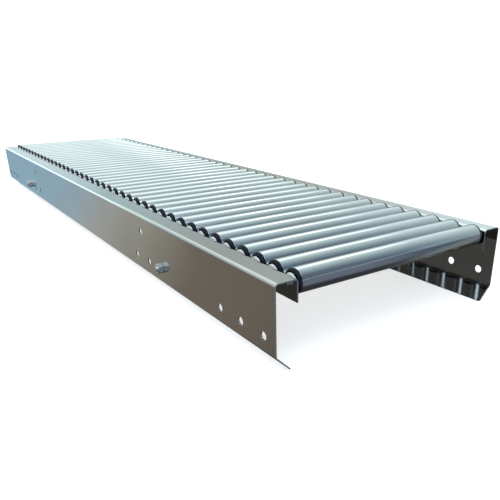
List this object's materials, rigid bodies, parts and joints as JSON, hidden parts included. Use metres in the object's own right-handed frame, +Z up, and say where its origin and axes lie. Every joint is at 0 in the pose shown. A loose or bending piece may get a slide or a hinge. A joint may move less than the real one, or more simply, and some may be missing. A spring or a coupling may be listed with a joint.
{
  "type": "gravity roller conveyor section",
  "caption": "Straight gravity roller conveyor section: a bed of free-spinning steel rollers between two folded sheet side frames with bolt holes and tie rods.",
  "frame": {"origin": "centre of the bounding box in X and Y, at the height of the feet's lower edges", "axes": "+X along the direction of travel towards the end nearest the camera in the picture, +Y across the bed from the near (left) side frame to the far (right) one, +Z up"},
  "size_m": [2.456, 0.6856, 0.1953],
  "materials": {
    "side_frame": "fine-ground stainless sheet",
    "roller": "bright zinc-plated tube",
    "axle": "drawn bar",
    "spacer": "plain tube",
    "end_cap": "black moulded, satin",
    "bearing_hub": "light grey moulded, satin",
    "fastener": "zinc-plated"
  },
  "bodies": {
    "frame": {"left_side_frame": "side_frame", "right_side_frame": "side_frame", "roller_axles": "axle", "tie_rods": "fastener", "spacer_tubes": "spacer", "tie_rod_nuts": "fastener"},
    "roller_01": {"roller_01": "roller"},
    "roller_02": {"roller_02": "roller"},
    "roller_03": {"roller_03": "roller"},
    "roller_04": {"roller_04": "roller"},
    "roller_05": {"roller_05": "roller"},
    "roller_06": {"roller_06": "roller"},
    "roller_07": {"roller_07": "roller"},
    "roller_08": {"roller_08": "roller"},
    "roller_09": {"roller_09": "roller"},
    "roller_10": {"roller_10": "roller"},
    "roller_11": {"roller_11": "roller"},
    "roller_12": {"roller_12": "roller"},
    "roller_13": {"roller_13": "roller"},
    "roller_14": {"roller_14": "roller"},
    "roller_15": {"roller_15": "roller"},
    "roller_16": {"roller_16": "roller"},
    "roller_17": {"roller_17": "roller"},
    "roller_18": {"roller_18": "roller"},
    "roller_19": {"roller_19": "roller"},
    "roller_20": {"roller_20": "roller"},
    "roller_21": {"roller_21": "roller"},
    "roller_22": {"roller_22": "roller"},
    "roller_23": {"roller_23": "roller"},
    "roller_24": {"roller_24": "roller"},
    "roller_25": {"roller_25": "roller"},
    "roller_26": {"roller_26": "roller"},
    "roller_27": {"roller_27": "roller"},
    "roller_28": {"roller_28": "roller"},
    "roller_29": {"roller_29": "roller"},
    "roller_30": {"roller_30": "roller"},
    "roller_31": {"roller_31": "roller"},
    "roller_32": {"roller_32": "roller"},
    "roller_33": {"roller_33": "roller"},
    "roller_34": {"roller_34": "roller"},
    "roller_35": {"roller_35": "roller"},
    "roller_36": {"roller_36": "roller"},
    "roller_37": {"roller_37": "roller"},
    "roller_38": {"roller_38": "roller"},
    "roller_39": {"roller_39": "roller"},
    "roller_40": {"roller_40": "roller"},
    "roller_41": {"roller_41": "roller"}
  },
  "joints": [
    {"name": "roller_01_spin", "type": "hinge", "parent": "frame", "child": "roller_01", "pos_m": [1.2, 0, 0.16995], "axis": [0, 1, 0], "continuous": true},
    {"name": "roller_02_spin", "type": "hinge", "parent": "frame", "child": "roller_02", "pos_m": [1.14, 0, 0.16995], "axis": [0, 1, 0], "continuous": true},
    {"name": "roller_03_spin", "type": "hinge", "parent": "frame", "child": "roller_03", "pos_m": [1.08, 0, 0.16995], "axis": [0, 1, 0], "continuous": true},
    {"name": "roller_04_spin", "type": "hinge", "parent": "frame", "child": "roller_04", "pos_m": [1.02, 0, 0.16995], "axis": [0, 1, 0], "continuous": true},
    {"name": "roller_05_spin", "type": "hinge", "parent": "frame", "child": "roller_05", "pos_m": [0.96, 0, 0.16995], "axis": [0, 1, 0], "continuous": true},
    {"name": "roller_06_spin", "type": "hinge", "parent": "frame", "child": "roller_06", "pos_m": [0.9, 0, 0.16995], "axis": [0, 1, 0], "continuous": true},
    {"name": "roller_07_spin", "type": "hinge", "parent": "frame", "child": "roller_07", "pos_m": [0.84, 0, 0.16995], "axis": [0, 1, 0], "continuous": true},
    {"name": "roller_08_spin", "type": "hinge", "parent": "frame", "child": "roller_08", "pos_m": [0.78, 0, 0.16995], "axis": [0, 1, 0], "continuous": true},
    {"name": "roller_09_spin", "type": "hinge", "parent": "frame", "child": "roller_09", "pos_m": [0.72, 0, 0.16995], "axis": [0, 1, 0], "continuous": true},
    {"name": "roller_10_spin", "type": "hinge", "parent": "frame", "child": "roller_10", "pos_m": [0.66, 0, 0.16995], "axis": [0, 1, 0], "continuous": true},
    {"name": "roller_11_spin", "type": "hinge", "parent": "frame", "child": "roller_11", "pos_m": [0.6, 0, 0.16995], "axis": [0, 1, 0], "continuous": true},
    {"name": "roller_12_spin", "type": "hinge", "parent": "frame", "child": "roller_12", "pos_m": [0.54, 0, 0.16995], "axis": [0, 1, 0], "continuous": true},
    {"name": "roller_13_spin", "type": "hinge", "parent": "frame", "child": "roller_13", "pos_m": [0.48, 0, 0.16995], "axis": [0, 1, 0], "continuous": true},
    {"name": "roller_14_spin", "type": "hinge", "parent": "frame", "child": "roller_14", "pos_m": [0.42, 0, 0.16995], "axis": [0, 1, 0], "continuous": true},
    {"name": "roller_15_spin", "type": "hinge", "parent": "frame", "child": "roller_15", "pos_m": [0.36, 0, 0.16995], "axis": [0, 1, 0], "continuous": true},
    {"name": "roller_16_spin", "type": "hinge", "parent": "frame", "child": "roller_16", "pos_m": [0.3, 0, 0.16995], "axis": [0, 1, 0], "continuous": true},
    {"name": "roller_17_spin", "type": "hinge", "parent": "frame", "child": "roller_17", "pos_m": [0.24, 0, 0.16995], "axis": [0, 1, 0], "continuous": true},
    {"name": "roller_18_spin", "type": "hinge", "parent": "frame", "child": "roller_18", "pos_m": [0.18, 0, 0.16995], "axis": [0, 1, 0], "continuous": true},
    {"name": "roller_19_spin", "type": "hinge", "parent": "frame", "child": "roller_19", "pos_m": [0.12, 0, 0.16995], "axis": [0, 1, 0], "continuous": true},
    {"name": "roller_20_spin", "type": "hinge", "parent": "frame", "child": "roller_20", "pos_m": [0.06, 0, 0.16995], "axis": [0, 1, 0], "continuous": true},
    {"name": "roller_21_spin", "type": "hinge", "parent": "frame", "child": "roller_21", "pos_m": [0, 0, 0.16995], "axis": [0, 1, 0], "continuous": true},
    {"name": "roller_22_spin", "type": "hinge", "parent": "frame", "child": "roller_22", "pos_m": [-0.06, 0, 0.16995], "axis": [0, 1, 0], "continuous": true},
    {"name": "roller_23_spin", "type": "hinge", "parent": "frame", "child": "roller_23", "pos_m": [-0.12, 0, 0.16995], "axis": [0, 1, 0], "continuous": true},
    {"name": "roller_24_spin", "type": "hinge", "parent": "frame", "child": "roller_24", "pos_m": [-0.18, 0, 0.16995], "axis": [0, 1, 0], "continuous": true},
    {"name": "roller_25_spin", "type": "hinge", "parent": "frame", "child": "roller_25", "pos_m": [-0.24, 0, 0.16995], "axis": [0, 1, 0], "continuous": true},
    {"name": "roller_26_spin", "type": "hinge", "parent": "frame", "child": "roller_26", "pos_m": [-0.3, 0, 0.16995], "axis": [0, 1, 0], "continuous": true},
    {"name": "roller_27_spin", "type": "hinge", "parent": "frame", "child": "roller_27", "pos_m": [-0.36, 0, 0.16995], "axis": [0, 1, 0], "continuous": true},
    {"name": "roller_28_spin", "type": "hinge", "parent": "frame", "child": "roller_28", "pos_m": [-0.42, 0, 0.16995], "axis": [0, 1, 0], "continuous": true},
    {"name": "roller_29_spin", "type": "hinge", "parent": "frame", "child": "roller_29", "pos_m": [-0.48, 0, 0.16995], "axis": [0, 1, 0], "continuous": true},
    {"name": "roller_30_spin", "type": "hinge", "parent": "frame", "child": "roller_30", "pos_m": [-0.54, 0, 0.16995], "axis": [0, 1, 0], "continuous": true},
    {"name": "roller_31_spin", "type": "hinge", "parent": "frame", "child": "roller_31", "pos_m": [-0.6, 0, 0.16995], "axis": [0, 1, 0], "continuous": true},
    {"name": "roller_32_spin", "type": "hinge", "parent": "frame", "child": "roller_32", "pos_m": [-0.66, 0, 0.16995], "axis": [0, 1, 0], "continuous": true},
    {"name": "roller_33_spin", "type": "hinge", "parent": "frame", "child": "roller_33", "pos_m": [-0.72, 0, 0.16995], "axis": [0, 1, 0], "continuous": true},
    {"name": "roller_34_spin", "type": "hinge", "parent": "frame", "child": "roller_34", "pos_m": [-0.78, 0, 0.16995], "axis": [0, 1, 0], "continuous": true},
    {"name": "roller_35_spin", "type": "hinge", "parent": "frame", "child": "roller_35", "pos_m": [-0.84, 0, 0.16995], "axis": [0, 1, 0], "continuous": true},
    {"name": "roller_36_spin", "type": "hinge", "parent": "frame", "child": "roller_36", "pos_m": [-0.9, 0, 0.16995], "axis": [0, 1, 0], "continuous": true},
    {"name": "roller_37_spin", "type": "hinge", "parent": "frame", "child": "roller_37", "pos_m": [-0.96, 0, 0.16995], "axis": [0, 1, 0], "continuous": true},
    {"name": "roller_38_spin", "type": "hinge", "parent": "frame", "child": "roller_38", "pos_m": [-1.02, 0, 0.16995], "axis": [0, 1, 0], "continuous": true},
    {"name": "roller_39_spin", "type": "hinge", "parent": "frame", "child": "roller_39", "pos_m": [-1.08, 0, 0.16995], "axis": [0, 1, 0], "continuous": true},
    {"name": "roller_40_spin", "type": "hinge", "parent": "frame", "child": "roller_40", "pos_m": [-1.14, 0, 0.16995], "axis": [0, 1, 0], "continuous": true},
    {"name": "roller_41_spin", "type": "hinge", "parent": "frame", "child": "roller_41", "pos_m": [-1.2, 0, 0.16995], "axis": [0, 1, 0], "continuous": true}
  ]
}
